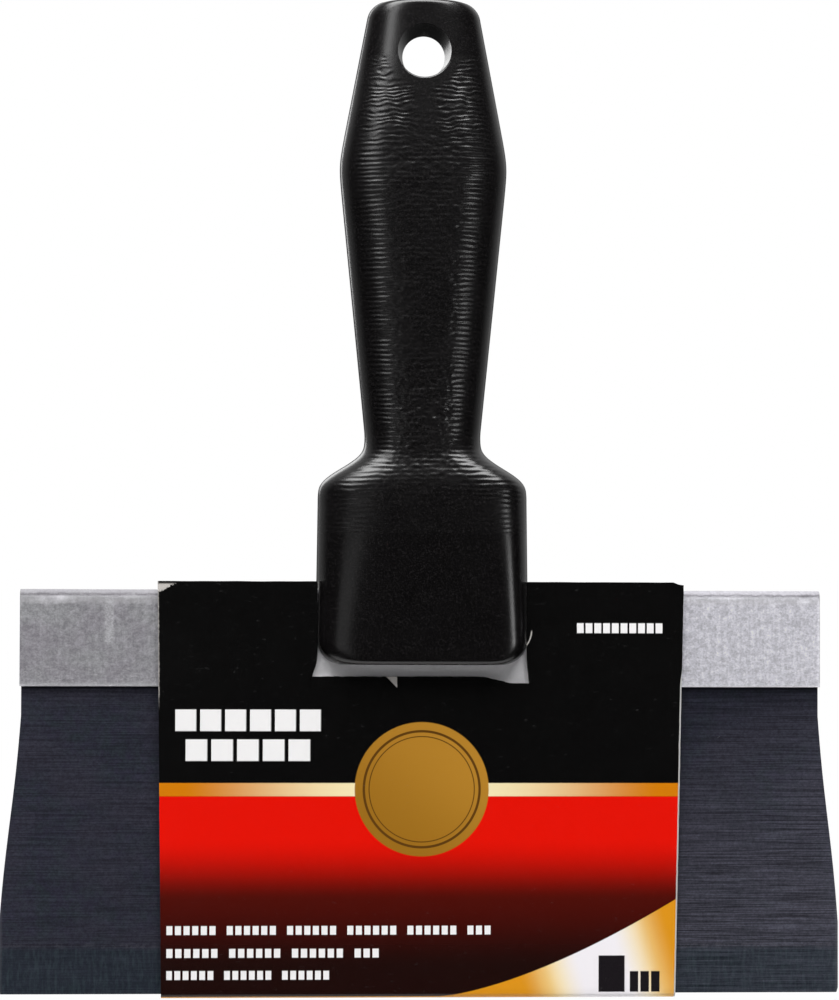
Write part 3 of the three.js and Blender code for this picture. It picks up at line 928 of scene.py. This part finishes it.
def make_bar(material):
    """The channel with its dents, its slightly wavy sides and a faint sag along the top."""
    profile, outside = bar_profile()
    half = BAR_HIGH.x
    ends = [half, half - 0.05, half - 0.2]
    stations = sorted([-x for x in ends] + ends + list(np.linspace(-half + 0.8, half - 0.8, 330)))
    top = BAR_HIGH.z
    loops = []
    for x in stations:
        rounding = max(0, 0.15 - (half - abs(x))) * 0.8
        sag = BAR_SAG * noise.noise(Vector((x / 30, 0, 3)))
        ring = []
        for i, (y, z) in enumerate(profile):
            side = math.copysign(1, y)
            if i < outside:
                y -= side * rounding
                wave = BAR_WAVE * noise.noise(Vector((x / 14, side * 5, z / 9)))
                for place, below, wide, tall, deep in BAR_DENTS:
                    away = ((x - place) / wide) ** 2 + ((z - (top - below)) / tall) ** 2
                    if away < 9:
                        y -= side * deep * math.exp(-away)
                y += side * min(0, wave)
                if z > top - 3:
                    z -= abs(sag) * (z - top + 3) / 3
            ring.append((x, y, z))
        loops.append(ring)
    points = [point for loop in loops for point in loop]
    bar = add_piece("bar_channel", points, loft_faces(len(loops), len(profile)), material)
    cut(bar, [drill(x, z, radius, material) for x, z, radius in fastener_places()])
    mark_sharp(bar, 32)
    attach(bar, "knife")
    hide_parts("backing_bar")


# ------------------------ rivets and screws

def make_rivet(node, material):
    """A shank with the same low domed head on both sides."""
    centre = centre_mm(node)
    low, high = size_mm(node)
    radius = (high.x - low.x) / 2
    crown = high.y
    seat = BAR_HIGH.y + 0.03
    half = [
        (0.0, -crown + 0.08),
        (0.7, -crown + 0.06),
        (1.0, -crown),
        (radius - 0.5, -crown),
        (radius - 0.15, -crown + 0.08),
        (radius, -seat - 0.06),
        (radius - 0.04, -seat),
        (1.6, -seat),
    ]
    profile = half + [(r, -y) for r, y in half[::-1]]
    points, faces = lathe(profile, 40)
    rivet = add_piece(node + "_turned", move(points, (centre.x, 0, centre.z)), faces, material)
    mark_sharp(rivet, 40)
    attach(rivet, "knife")
    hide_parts(node)


def make_screw(node, material):
    """A pan head with a cross recess over a pointed, threaded shank."""
    centre = centre_mm(node)
    low, high = size_mm(node)
    radius = (high.x - low.x) / 2
    crown = high.y
    tip = low.y
    seat = crown - 2
    skirt = seat + 0.6
    shank = 1.15
    thread = 1.5
    pitch = 1.0
    profile = [(0, tip), (0.25, tip + 0.1), (0.75, tip + 1.4)]
    y = tip + 1.6
    while y < seat - 1.2:
        turn = ((shank, 0), (thread, 0.42), (thread, 0.5), (shank, 0.92))
        profile += [(reach, y + share * pitch) for reach, share in turn]
        y += pitch
    profile += [(shank, seat - 0.1), (shank + 0.2, seat), (radius - 0.15, seat)]
    profile += [(radius, seat + 0.15), (radius, skirt)]
    dome = [math.radians(d) for d in (15, 30, 45, 60, 75)]
    profile += [(radius * math.cos(a), skirt + (crown - skirt) * math.sin(a)) for a in dome]
    profile += [(0, crown)]
    points, faces = lathe(profile)
    screw = add_piece(node + "_turned", move(points, (centre.x, 0, centre.z)), faces, material)
    for long_axis in (0, 2):
        points = []
        for y, long, wide in ((crown + 0.5, 1.75, 0.45), (crown - 1.25, 0.85, 0.3)):
            size = (long, wide) if long_axis == 0 else (wide, long)
            for right, up in ((-1, -1), (1, -1), (1, 1), (-1, 1)):
                points.append((centre.x + right * size[0], y, centre.z + up * size[1]))
        cut(screw, [add_piece("recess", points, loft_faces(2, 4), material, smooth=False)])
    mark_sharp(screw, 35)
    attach(screw, "knife")
    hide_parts(node)


# ------------------------ handle

def round_inset(distance, radius):
    """How far a rounded corner draws in, at a distance from the end that it rounds off."""
    near = np.clip(radius - distance, 0, radius)
    return radius - np.sqrt(np.maximum(0, radius**2 - near**2))


def head_share(z):
    """0 on the grip, 1 on the head: a slow flare out of the neck, then a steep shoulder."""
    slow = ease((SHOULDER_TOP - z) / (SHOULDER_TOP - SHOULDER_BOTTOM))
    steep = ease((SHOULDER_STEEP - z) / (SHOULDER_STEEP - SHOULDER_STEEP_END))
    return 0.35 * slow + 0.65 * steep


def half_width(z):
    """Half the outline's width: the narrower of two tapers on the grip, blended into the head."""
    from_end = END_HALF_WIDTH + END_TAPER * (SHELL_HIGH.z - z)
    from_neck = NECK_HALF_WIDTH + GRIP_TAPER * (z - NECK_HEIGHT)
    grip = -SWELL_BLEND * np.log(np.exp(-from_end / SWELL_BLEND) + np.exp(-from_neck / SWELL_BLEND))
    below = np.maximum(0, (SHOULDER_BOTTOM - z) / (SHOULDER_BOTTOM - SHELL_LOW.z))
    return mix(grip, HEAD_HALF_WIDTH + HEAD_SPREAD * below, head_share(z))


def half_thickness(z):
    """Depth of one shell at its middle."""
    if z >= SWELL_HEIGHT:
        share = (z - SWELL_HEIGHT) / (SHELL_HIGH.z - SWELL_HEIGHT)
        return mix(SWELL_HALF_THICKNESS, END_HALF_THICKNESS, share**END_THINNING)
    if z >= NECK_HEIGHT:
        share = (z - NECK_HEIGHT) / (SWELL_HEIGHT - NECK_HEIGHT)
        return mix(NECK_HALF_THICKNESS, SWELL_HALF_THICKNESS, ease(share))
    if z >= SHOULDER_BOTTOM:
        return mix(NECK_HALF_THICKNESS, SHOULDER_HALF_THICKNESS, head_share(z))
    share = (SHOULDER_BOTTOM - z) / (SHOULDER_BOTTOM - SHELL_LOW.z)
    return mix(SHOULDER_HALF_THICKNESS, TIP_HALF_THICKNESS, share)


def half_section(z, columns):
    """x and depth of evenly spaced points over one face, from the right side to the left."""
    from_top = SHELL_HIGH.z - z
    from_bottom = z - SHELL_LOW.z
    wide = float(half_width(z))
    wide -= float(round_inset(from_top, TOP_CORNER))
    wide -= float(round_inset(from_bottom, HEAD_CORNER))
    thick = float(half_thickness(z))
    thick -= float(round_inset(from_top, TOP_EDGE))
    thick -= float(round_inset(from_bottom, HEAD_LIP))
    grip_exponent = mix(GRIP_EXPONENT, END_EXPONENT, float(ease((z - 205) / 27)))
    lip_share = float(np.clip((SHOULDER_BOTTOM - z) / 36, 0, 1))
    head_right = mix(HEAD_EXPONENT, LIP_EXPONENT, lip_share)
    head_left = mix(HEAD_LEFT_EXPONENT, LIP_LEFT_EXPONENT, lip_share)
    share = float(head_share(z))
    angle = np.linspace(0, math.pi, 721)
    across = np.cos(angle)
    exponent = mix(grip_exponent, np.where(across < 0, head_left, head_right), share)
    depth = np.sqrt(np.maximum(0, 1 - np.abs(across) ** exponent))
    x = wide * across
    y = thick * depth
    length = np.concatenate([[0], np.cumsum(np.hypot(np.diff(x), np.diff(y)))])
    even = np.linspace(0, length[-1], columns)
    return np.interp(even, length, x), np.interp(even, length, y), wide, thick


def section_heights(fine):
    """Rows close together where the ribs are, wider apart on the smooth end and head."""
    low = SHELL_LOW.z
    high = SHELL_HIGH.z
    step = 0.17 if fine else 0.5
    corner = [low + HEAD_CORNER * (1 - math.cos(a)) for a in np.linspace(0, math.pi / 2, 14)]
    head = list(np.arange(corner[-1] + 1, TEXTURE_BOTTOM - 1, 1.0))
    grip = list(np.arange(TEXTURE_BOTTOM - 1, TEXTURE_TOP + 1, step))
    end = list(np.arange(TEXTURE_TOP + 1.4, high - TOP_CORNER, 0.7))
    top = [high - TOP_CORNER * (1 - math.cos(a)) for a in np.linspace(math.pi / 2, 0, 12)]
    return corner + head + grip + end + top


def rough(x, z, wide, tall, seed):
    """Smooth noise from -1 to 1 with lumps of about the given width and height."""
    return noise.noise(Vector((x / wide, z / tall, seed)))


def relief(x, z, depth, wide, thick, seed):
    """Height of the moulded ribs and grain, in millimetres out from the smooth form.

    Ribs run across both sides, grain covers the middle, and the ribs get wrinkled and
    reach further in on the upper part. The smooth end, head and hole rim have neither.
    """
    from_hole = math.hypot(x, z - HOLE_HEIGHT)
    ragged_top = TEXTURE_TOP + 1.2 * rough(x, 0, 1.4, 1, seed)
    mask = ramp(z, TEXTURE_BOTTOM, TEXTURE_BOTTOM + 0.35)
    mask *= ramp(ragged_top - z, 0, 1)
    mask *= ramp(from_hole, TEXTURE_HOLE_GAP, TEXTURE_HOLE_GAP + 1.2)
    mask *= ramp(depth / thick, 0.56, 0.74)
    mask *= mix(0.4, 1, ramp(z, 117, 122))
    if mask == 0:
        return 0.0
    side = abs(x) / wide
    upper = ramp(z, WRINKLES_START, WRINKLES_FULL)
    rib_start = mix(0.42, 0.12, upper)
    mask *= mix(1, 0.25 + 0.75 * ramp(side, 0.05, 0.2), upper)
    rib_share = ramp(side, rib_start, rib_start + 0.14)
    shift = rough(x, z, 9, 4.5, seed) * mix(0.5, 0.9, upper)
    shift += rough(x, z, 2.2, 1.9, seed + 4) * mix(0.12, 0.6, upper)
    wave = math.sin(2 * math.pi * (z / RIB_PITCH + shift))
    strength = 0.75 + 0.9 * rough(x, z, mix(3.2, 1.2, upper), 1.4, seed + 7)
    wrinkle = rough(x, z, mix(3.5, 1.5, upper), 0.8, seed + 11)
    bark = rough(x, z, 0.8, 0.75, seed + 17)
    pebble = rough(x, z, 1.9, 1.4, seed + 23)
    ribs = RIB_DEPTH * (0.8 * wave * strength + 0.4 * wrinkle)
    near_neck = math.exp(-(((z - NECK_HEIGHT - 4) / 9) ** 2))
    grain = GRAIN_DEPTH * (1 + 0.7 * near_neck) * (0.9 * bark + 0.7 * pebble + 0.15 * wave)
    return mask * mix(grain, ribs, rib_share)


def make_form(name, side, material, seed, fine):
    """One face of the handle as a closed solid, ribbed outside and flat at the seam."""
    columns = 112 if fine else 60
    heights = section_heights(fine)
    grid = np.zeros((len(heights), columns, 3))
    depth = np.zeros((len(heights), columns))
    sizes = []
    for row, z in enumerate(heights):
        x, y, wide, thick = half_section(z, columns)
        grid[row, :, 0] = x
        grid[row, :, 1] = y
        grid[row, :, 2] = z
        depth[row] = y
        sizes.append((wide, thick))
    along = np.gradient(grid, axis=0)
    across = np.gradient(grid, axis=1)
    normal = np.cross(along, across)
    normal /= np.maximum(1e-9, np.linalg.norm(normal, axis=2, keepdims=True))
    for row, z in enumerate(heights):
        wide, thick = sizes[row]
        for column in range(columns):
            x = grid[row, column, 0]
            y = depth[row, column]
            lift = relief(x, z, y, wide, thick, seed)
            groove = SEAM_GROOVE_DEPTH * math.exp(-((y / SEAM_GROOVE_WIDTH) ** 2))
            grid[row, column] += normal[row, column] * (lift - groove)
    grid[:, :, 1] = np.maximum(grid[:, :, 1], SEAM_HALF_GAP)
    grid[:, :, 1] *= side
    points = grid.reshape(-1, 3)
    return add_piece(name, points, loft_faces(len(heights), columns), material)


def hole_cutter(side, material):
    """The hang hole's half on one side: drafted wider towards the face, with a rounded lip."""
    face = float(half_thickness(HOLE_HEIGHT)) * 0.95
    lip = [
        (HOLE_MOUTH + HOLE_LIP * (1 - math.cos(a)), face - HOLE_LIP * (1 - math.sin(a)))
        for a in np.linspace(0, math.pi / 2, 7)
    ]
    profile = [(0, -1), (HOLE_WAIST, -1), (HOLE_WAIST, 0)]
    profile += [(mix(HOLE_WAIST, HOLE_MOUTH, s), s * (face - HOLE_LIP)) for s in (0.25, 0.5, 0.75)]
    profile += lip + [(lip[-1][0] + 0.6, face + 3), (0, face + 3)]
    points, faces = lathe([(r, side * y) for r, y in profile], 96)
    points = [(x, y, z + HOLE_RISE * max(0, side * y) / face) for x, y, z in points]
    return add_piece("hole", move(points, (0, 0, HOLE_HEIGHT)), faces, material)


def box_cutter(low, high, material):
    points = [
        (x, y, z)
        for z in (low[2], high[2])
        for x, y in ((low[0], low[1]), (high[0], low[1]), (high[0], high[1]), (low[0], high[1]))
    ]
    return add_piece("block", points, loft_faces(2, 4), material, smooth=False)


def screw_cutter(x, z, side, material):
    """A blind pilot hole in the front shell, and a way through the back one, wider for the head."""
    if side < 0:
        return drill(x, z, SCREW_HOLE, material, low=-SCREW_PILOT, high=1)
    profile = [(0, -1), (SCREW_HOLE, -1), (SCREW_HOLE, SCREW_SEAT)]
    profile += [(SCREW_BORE, SCREW_SEAT), (SCREW_BORE, 20), (0, 20)]
    points, faces = lathe(profile, 64)
    return add_piece("bore", move(points, (x, 0, z)), faces, material)


def make_shell(name, node, side, material, seed):
    """One half of the handle, with the hang hole, the slot for the bar and the screw holes cut."""
    shell = make_form(name, side, material, seed, fine=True)
    slot = BAR_HIGH.y + SLOT_GAP
    slot_low = (-SLOT_HALF_WIDTH, -slot, SHELL_LOW.z - 5)
    slot_high = (SLOT_HALF_WIDTH, slot, BAR_HIGH.z + SLOT_GAP)
    cutters = [hole_cutter(side, material), box_cutter(slot_low, slot_high, material)]
    for screw in ("head_screw_left", "head_screw_right", "grip_screw"):
        centre = centre_mm(screw)
        cutters.append(screw_cutter(centre.x, centre.z, side, material))
    cut(shell, cutters)
    mark_sharp(shell, 50)
    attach(shell, "knife")
    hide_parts(node)


# ------------------------ card sleeve

def sleeve_path():
    """The card's middle line as (y, z), from the front's top, under the edge, to the back's top."""
    half = CARD / 2
    top = SLEEVE_HIGH.z
    at_bar = SLEEVE_HIGH.y - half
    lip = BAR_LOW.z - 1
    at_edge = CARD_EDGE_GAP + half
    fold = SLEEVE_LOW.z + half
    radius = CARD_FOLD_RADIUS
    above_notch = [(-at_bar, z) for z in np.linspace(top, NOTCH_BOTTOM, 17)]
    below_notch = [(-at_bar, z) for z in np.linspace(NOTCH_BOTTOM, lip, 4)[1:]]
    slope = [
        (mix(-at_bar, -at_edge, s), mix(lip, fold + radius, s))
        for s in np.linspace(0, 1, 46)[1:]
    ]
    turn = [
        (-at_edge * math.cos(a), fold + radius - radius * math.sin(a))
        for a in np.linspace(0, math.pi / 2, 7)[1:]
    ]
    down = above_notch + below_notch + slope + turn
    back = [(-y, z) for y, z in down[:-1][::-1]]
    return down + back


def sleeve_side(z, side):
    """x of the cut edge on one side at a height."""
    below = SLEEVE_HIGH.z - z
    if side > 0:
        return SLEEVE_HIGH.x - SLEEVE_RIGHT_TRIM - 1.4 * SIDE_TAPER * below
    return SIDE_TAPER * below - SLEEVE_HIGH.x


def notch_point(x, y, z):
    """Follows the notch's real cut: wider at the bottom, and lower at the right corner."""
    if z < NOTCH_BOTTOM - 2:
        return x, z
    near = min(1, max(0, 1 - (z - NOTCH_BOTTOM) / 6))
    if abs(abs(x) - NOTCH_HALF) < 0.01:
        spread = NOTCH_SPREAD_LEFT if x < 0 else NOTCH_SPREAD_RIGHT
        x += math.copysign(spread * near * near, x)
    if abs(z - NOTCH_BOTTOM) < 0.01 and abs(x) < NOTCH_HALF + 2:
        z += 0.6 - 1.9 * float(ease((x - 12) / 14)) + 0.12 * noise.noise(Vector((x, y, 8)))
    return x, z


def card_point(x, y, z):
    """A point of the flat-folded card with the real card's small bends and rough cuts."""
    side = math.copysign(1, y)
    share = abs(x) / SLEEVE_HIGH.x
    bow = CARD_BOW * noise.noise(Vector((x / 26, side * 3, z / 30)))
    curl = CARD_CURL * max(0, share - 0.86) / 0.14 if z > 60 else 0.0
    y += side * (bow + curl * noise.noise(Vector((side, x / 50, z / 18))))
    if share > 0.96:
        x += 0.05 * noise.noise(Vector((x * 3, side, z / 1.5)))
    if z > SLEEVE_HIGH.z - 0.01:
        z += 0.06 * noise.noise(Vector((x / 6, side, 5))) - 0.06
        z -= NICK_DEPTH * max(0, 1 - abs(x - NICK_X) / NICK_HALF_WIDTH)
    return x, y, z


def make_sleeve(print_material, core_material):
    """One folded sheet, printed outside, bare inside and on its cut edges."""
    path = np.array(sleeve_path())
    along = np.gradient(path, axis=0)
    outward = np.stack([along[:, 1], -along[:, 0]], axis=1)
    outward /= np.linalg.norm(outward, axis=1, keepdims=True)
    sides = np.linspace(0, 1, 31)
    middle = np.linspace(-NOTCH_HALF, NOTCH_HALF, 61)
    columns = 2 * (len(sides) - 1) + len(middle)
    first = len(sides) - 1
    last = first + len(middle) - 1

    def place(row, column):
        y, z = path[row]
        if column < first:
            x = mix(sleeve_side(z, -1), -NOTCH_HALF, sides[column])
        elif column > last:
            x = mix(NOTCH_HALF, sleeve_side(z, 1), sides[column - last])
        else:
            x = middle[column - first]
        x, z = notch_point(x, y, z)
        return card_point(x, y, z)

    outer = []
    inner = []
    for row in range(len(path)):
        push = np.array([0, *outward[row]]) * CARD / 2
        for column in range(columns):
            point = np.array(place(row, column))
            slant = np.zeros(3)
            if column == columns - 1 and path[row][0] < 0:
                slant[0] = CUT_SLANT * float(ease((80 - path[row][1]) / 6))
            outer.append(point + push - slant)
            inner.append(point - push)

    quads = []
    for row in range(len(path) - 1):
        open_row = min(path[row][1], path[row + 1][1]) > NOTCH_BOTTOM - 0.01
        for column in range(columns - 1):
            if open_row and first <= column < last:
                continue
            a = row * columns + column
            quads.append((a, a + columns, a + columns + 1, a + 1))
    shift = len(outer)
    edges = [edge for quad in quads for edge in zip(quad, quad[1:] + quad[:1])]
    known = set(edges)
    rim = [(b, a, a + shift, b + shift) for a, b in edges if (b, a) not in known]
    faces = quads + [tuple(i + shift for i in quad[::-1]) for quad in quads] + rim
    used = sorted({i for face in faces for i in face})
    number = {old: new for new, old in enumerate(used)}
    points = outer + inner
    sleeve = add_piece(
        "sleeve_card",
        [points[i] for i in used],
        [tuple(number[i] for i in face) for face in faces],
        print_material,
    )
    sleeve.data.materials.append(core_material)
    for index in range(len(quads), len(faces)):
        sleeve.data.polygons[index].material_index = 1
    mark_sharp(sleeve, 35)
    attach(sleeve, "sleeve")
    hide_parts("card_sleeve")


# ------------------------ assembly

make_studio()

aluminium = mill_aluminium_look()
plastic = black_plastic_look()
zinc = zinc_steel_look()

make_blade(blued_steel_look())
make_bar(aluminium)
for number in range(1, 5):
    make_rivet(f"blade_rivet_{number}", aluminium)
for screw_node in ("head_screw_left", "head_screw_right", "grip_screw"):
    make_screw(screw_node, zinc)
make_shell("handle_front", "handle_front_shell", -1, plastic, seed=2.5)
make_shell("handle_back", "handle_back_shell", 1, plastic, seed=40.5)
make_sleeve(printed_card_look(), card_core_look())
